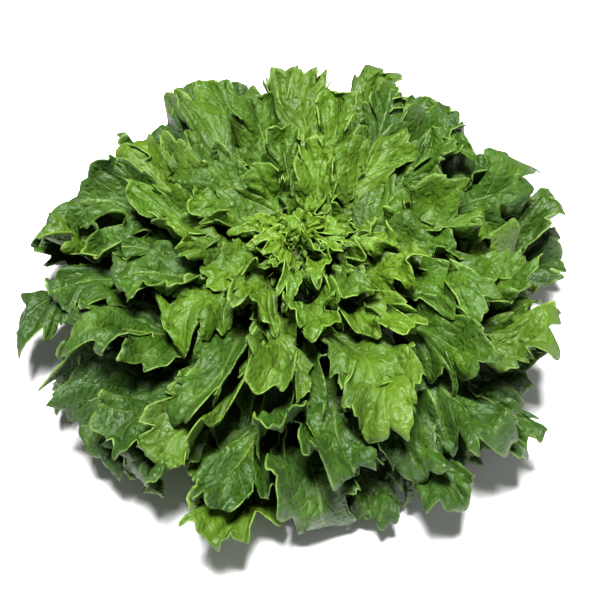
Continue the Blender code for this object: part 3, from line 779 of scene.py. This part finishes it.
def leaf_colour_group():
    """The colour with its painted shade, the height and the gloss of a leaf's surface, from the facts kept on
    its mesh.
    """
    tree = bpy.data.node_groups.new("leaf_surface", "ShaderNodeTree")
    outputs = {"Colour": "NodeSocketColor", "Height": "NodeSocketFloat", "Gloss": "NodeSocketFloat"}
    for name, kind in outputs.items():
        tree.interface.new_socket(name, in_out="OUTPUT", socket_type=kind)
    n = Nodes(tree)
    place = n.add("ShaderNodeTexCoord").outputs["Object"]
    level = n.fact("level")
    from_rib, from_edge, forward = n.fact("from_rib"), n.fact("from_edge"), n.fact("forward")
    leaf_map = n.add("ShaderNodeUVMap", {"uv_map": "leaf_map"})
    along = n.add("ShaderNodeSeparateXYZ", Vector=leaf_map.outputs[0]).outputs["Y"]
    # Greens by level: darker towards the lowest leaves, partly their own colour and partly painted shade
    ramp = n.add("ShaderNodeValToRGB", Fac=n.maths("MULTIPLY", level, 0.5))
    while len(ramp.color_ramp.elements) < len(LEVEL_GREENS_AND_SHADE):
        ramp.color_ramp.elements.new(0.5)
    for element, (position, colour) in zip(ramp.color_ramp.elements, LEVEL_GREENS_AND_SHADE):
        element.position = position
        element.color = colour
    colour = ramp.outputs["Color"]
    tone = n.fact("tone")
    colour = n.mix(n.ramp(tone, 0.3, 1.0, 0.0, 0.55), colour, YELLOWER_LEAF)
    colour = n.mix(n.ramp(tone, 0.5, 0.0, 0.0, 0.45), colour, DARKER_LEAF)
    mottle = n.noise(MOTTLE_SCALE, 3, place)
    colour = n.mix(n.ramp(mottle, 0.4, 0.75, 0.0, 0.4), colour, MOTTLE_GREEN)
    patch = n.noise(PATCH_SCALE, 2, place)
    colour = n.mix(n.ramp(patch, 0.4, 0.7, 0.0, 0.5), colour, PATCH_GREEN)
    wobble = n.maths("MULTIPLY", n.maths("SUBTRACT", n.noise(WOBBLE_SCALE, 2, place), 0.5), 0.5)
    vein_place = n.maths("ADD", n.fact("vein"), wobble)
    vein_off = n.maths("PINGPONG", vein_place, 0.5)
    vein = n.maths("MULTIPLY", n.ramp(vein_off, 0.0, 0.09, 1.0, 0.0), n.ramp(from_edge, 2.0, 10.0))
    vein = n.maths("MULTIPLY", vein, n.ramp(along, STALK, STALK + 0.1))
    rib_width = n.ramp(along, 0.1, 1.0, *RIB_WIDTHS)
    rib = n.maths("SUBTRACT", 1.0, n.ramp(n.maths("DIVIDE", from_rib, rib_width), 0.45, 1.1))
    cells = n.add("ShaderNodeTexVoronoi", {"feature": "DISTANCE_TO_EDGE"}, Vector=place, Scale=NET_SCALE)
    net = n.ramp(cells.outputs["Distance"], 0.0, 0.16, 1.0, 0.0)
    for mark, share in ((net, NET_SHARE), (vein, VEIN_SHARE), (rib, RIB_SHARE)):
        colour = n.mix(n.maths("MULTIPLY", mark, share), colour, RIB_GREEN)
    edge = n.ramp(from_edge, *RIM_FADE, 1.0, 0.0)
    edge = n.maths("MULTIPLY", edge, n.ramp(n.noise(EDGE_SCALE, 2, place), 0.35, 0.6, 0.15, 0.6))
    colour = n.mix(edge, colour, EDGE_GREEN)
    # Painted shade: the leaf is darkened from its base to about a third of its length, fading out further
    # along
    deep = n.ramp(n.maths("DIVIDE", forward, n.fact("length")), *PAINTED_SHADE_FADE, 0.6, 0.0)
    colour = n.mix(deep, colour, PAINTED_SHADE_GREEN)
    pale_base = n.ramp(forward, *CREAM_FADE, 0.6, 0.0)
    colour = n.mix(pale_base, colour, STALK_CREAM)
    blister = n.ramp(cells.outputs["Distance"], 0.0, 0.5)
    height = n.maths("ADD", n.maths("MULTIPLY", vein, -0.6), n.maths("MULTIPLY", blister, 0.8))
    height = n.maths("ADD", height, n.maths("MULTIPLY", n.noise(GRAIN_SCALE, 4, place, 0.6), 2.4))
    gloss = n.ramp(n.noise(GLOSS_SCALE, 3, place), 0.3, 0.7, *SATIN)
    out = n.add("NodeGroupOutput")
    n.feed(out.inputs["Colour"], colour)
    n.feed(out.inputs["Height"], height)
    n.feed(out.inputs["Gloss"], gloss)
    return tree


def principled(name):
    """A new material, with what adds nodes to it and its shader."""
    material = bpy.data.materials.new(name)
    material.use_nodes = True
    return material, Nodes(material.node_tree), material.node_tree.nodes["Principled BSDF"]


def leaf_material(name, tint, surface):
    """A satin leaf that lets some light through. The tint multiplies the shared colour."""
    material, n, shader = principled(name)
    tree = material.node_tree
    group = n.add("ShaderNodeGroup")
    group.node_tree = surface
    colour = n.mix(1.0, group.outputs["Colour"], tint, "MULTIPLY")
    n.feed(shader.inputs["Base Color"], colour)
    n.feed(shader.inputs["Roughness"], group.outputs["Gloss"])
    shader.inputs["IOR"].default_value = LEAF_IOR
    relief = group.outputs["Height"]
    bump = n.add("ShaderNodeBump", Strength=RELIEF_STRENGTH, Distance=RELIEF_DEPTH, Height=relief)
    n.feed(shader.inputs["Normal"], bump.outputs[0])
    through = n.add("ShaderNodeBsdfTranslucent", Color=n.mix(1.0, colour, THROUGH_TINT, "MULTIPLY"))
    both = n.add("ShaderNodeMixShader")
    both.inputs[0].default_value = TRANSLUCENCE
    tree.links.new(shader.outputs[0], both.inputs[1])
    tree.links.new(through.outputs[0], both.inputs[2])
    tree.links.new(both.outputs[0], tree.nodes["Material Output"].inputs["Surface"])
    return material


def stem_material():
    """Pale stem flesh, browner in patches and specks where it was cut, with painted shade up among the
    leaves.
    """
    material, n, shader = principled("stem")
    place = n.add("ShaderNodeTexCoord").outputs["Object"]
    patches = n.ramp(n.noise(STEM_PATCH_SCALE, 4, place), 0.35, 0.7)
    colour = n.mix(patches, STEM_FLESH, STEM_BROWN)
    specks = n.ramp(n.noise(STEM_SPECK_SCALE, 3, place), 0.5, 0.75)
    colour = n.mix(n.maths("MULTIPLY", specks, 0.35), colour, STEM_SPECKS)
    height = n.add("ShaderNodeSeparateXYZ", Vector=place).outputs["Z"]
    # Painted shade: the stem turns dark green with height, where it stands among the leaves
    colour = n.mix(n.ramp(height, *STEM_PAINTED_SHADE), colour, PAINTED_SHADE_GREEN)
    n.feed(shader.inputs["Base Color"], colour)
    n.feed(shader.inputs["Roughness"], n.ramp(patches, 0.0, 1.0, *STEM_ROUGHNESS))
    relief = n.noise(STEM_GRAIN_SCALE, 4, place)
    bump = n.add("ShaderNodeBump", Strength=STEM_RELIEF_STRENGTH, Distance=STEM_RELIEF_DEPTH, Height=relief)
    n.feed(shader.inputs["Normal"], bump.outputs[0])
    return material


def floor_material():
    """Matt white board, a little uneven in tone."""
    material, n, shader = principled("floor")
    place = n.add("ShaderNodeTexCoord").outputs["Object"]
    n.feed(shader.inputs["Base Color"], n.mix(n.noise(FLOOR_TONE_SCALE, 3, place), *FLOOR_WHITES))
    grain = n.noise(FLOOR_GRAIN_SCALE, 2, place)
    n.feed(shader.inputs["Roughness"], n.ramp(grain, 0.3, 0.7, *FLOOR_ROUGHNESS))
    return material


def thicken(made, materials):
    """Gives a leaf its thickness. The materials are those of its upper side, its underside and its rim."""
    for material in materials:
        made.data.materials.append(material)
    made.data.shade_smooth()
    group = made.vertex_groups.new(name="thickness")
    thick = np.zeros(len(made.data.vertices), np.float32)
    made.data.attributes["thick"].data.foreach_get("value", thick)
    for index, value in enumerate(thick.tolist()):
        group.add([index], value / RIB_THICKNESS, "REPLACE")
    solid = made.modifiers.new("thickness", "SOLIDIFY")
    solid.thickness = RIB_THICKNESS
    solid.offset = 0
    solid.vertex_group = group.name
    solid.material_offset = 1
    solid.material_offset_rim = 2


def fit_to_frame(made, slot, *nodes):
    bpy.context.scene.collection.objects.link(made)
    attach(made, "root")
    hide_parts(*nodes)


def make_leaves(plans, materials):
    template = LeafTemplate(FINE_COLUMNS, FINE_ROWS, LOBE_SPREAD)
    whorls = (("outer_leaf", OUTER_LEAVES), ("middle_leaf", MIDDLE_LEAVES))
    index = 0
    for kind, count in whorls:
        for number in range(1, count + 1):
            node = f"{kind}_{number:02d}"
            made = bpy.data.objects.new(f"waved_{node}", template.bent(f"waved_{node}", plans[index]))
            thicken(made, materials)
            fit_to_frame(made, kind, node)
            index += 1


def make_heart(plans, materials):
    """The leaves on the core, in a few pieces from the outermost inwards."""
    template = LeafTemplate(FINE_HEART_COLUMNS, FINE_HEART_ROWS, HEART_ROW_SPREAD)
    for number, part in enumerate(np.array_split(np.arange(len(plans)), HEART_PIECES), 1):
        joined = bmesh.new()
        for index in part:
            mesh = template.bent("heart_leaf", plans[index])
            joined.from_mesh(mesh)
            bpy.data.meshes.remove(mesh)
        mesh = bpy.data.meshes.new(f"waved_heart_{number}")
        joined.to_mesh(mesh)
        joined.free()
        made = bpy.data.objects.new(mesh.name, mesh)
        thicken(made, materials)
        fit_to_frame(made, "heart", "heart")


def make_stem():
    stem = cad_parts["stem"]
    stem.data.materials.clear()
    stem.data.materials.append(stem_material())


def make_floor():
    bpy.ops.mesh.primitive_plane_add(size=FLOOR_SIZE)
    floor = bpy.context.object
    floor.name = "floor"
    floor.data.materials.append(floor_material())


def area_light(name, azimuth, elevation, distance, size, watts):
    data = bpy.data.lights.new(name, "AREA")
    data.energy = watts
    data.size = size
    light = bpy.data.objects.new(name, data)
    bpy.context.scene.collection.objects.link(light)
    a, e = math.radians(azimuth), math.radians(elevation)
    towards = Vector((math.sin(a) * math.cos(e), -math.cos(a) * math.cos(e), math.sin(e)))
    light.location = towards * distance
    light.rotation_mode = "QUATERNION"
    light.rotation_quaternion = (-light.location).to_track_quat("-Z", "Y")


def make_light():
    scene = bpy.context.scene
    scene.view_settings.view_transform = "Standard"
    world = bpy.data.worlds.new("studio")
    scene.world = world
    world.use_nodes = True
    background = world.node_tree.nodes["Background"]
    background.inputs["Color"].default_value = (1, 1, 1, 1)
    background.inputs["Strength"].default_value = WORLD_LIGHT
    area_light("key", *KEY_LIGHT)
    area_light("fill", *FILL_LIGHT)


def make_camera():
    data = bpy.data.cameras.new("camera")
    data.lens = CAMERA_LENS
    camera = bpy.data.objects.new("camera", data)
    bpy.context.scene.collection.objects.link(camera)
    e = math.radians(CAMERA_ELEVATION)
    back = Vector((0, -math.cos(e), math.sin(e)))
    camera.location = AIM + back * CAMERA_DISTANCE
    camera.rotation_mode = "QUATERNION"
    camera.rotation_quaternion = (-back).to_track_quat("-Z", "Y")
    bpy.context.scene.camera = camera


def main():
    make_camera()
    make_floor()
    make_light()
    draw = np.random.default_rng(SEED)
    plans = [leaf_plan(index) for index in range(LEAVES)]
    plans += [heart_plan(index) for index in range(HEART_LEAVES)]
    plans = [fine_traits(plan, draw) for plan in plans]
    keep_leaves_apart(plans)
    for plan in plans[:STEM_LEAVES]:
        plan["half_width"] *= BROADER
    surface = leaf_colour_group()
    sides = {"leaf_upper": UPPER_TINT, "leaf_under": UNDER_TINT, "leaf_rim": RIM_TINT}
    materials = [leaf_material(name, tint, surface) for name, tint in sides.items()]
    make_leaves(plans, materials)
    make_heart(plans[STEM_LEAVES:], materials)
    make_stem()


main()
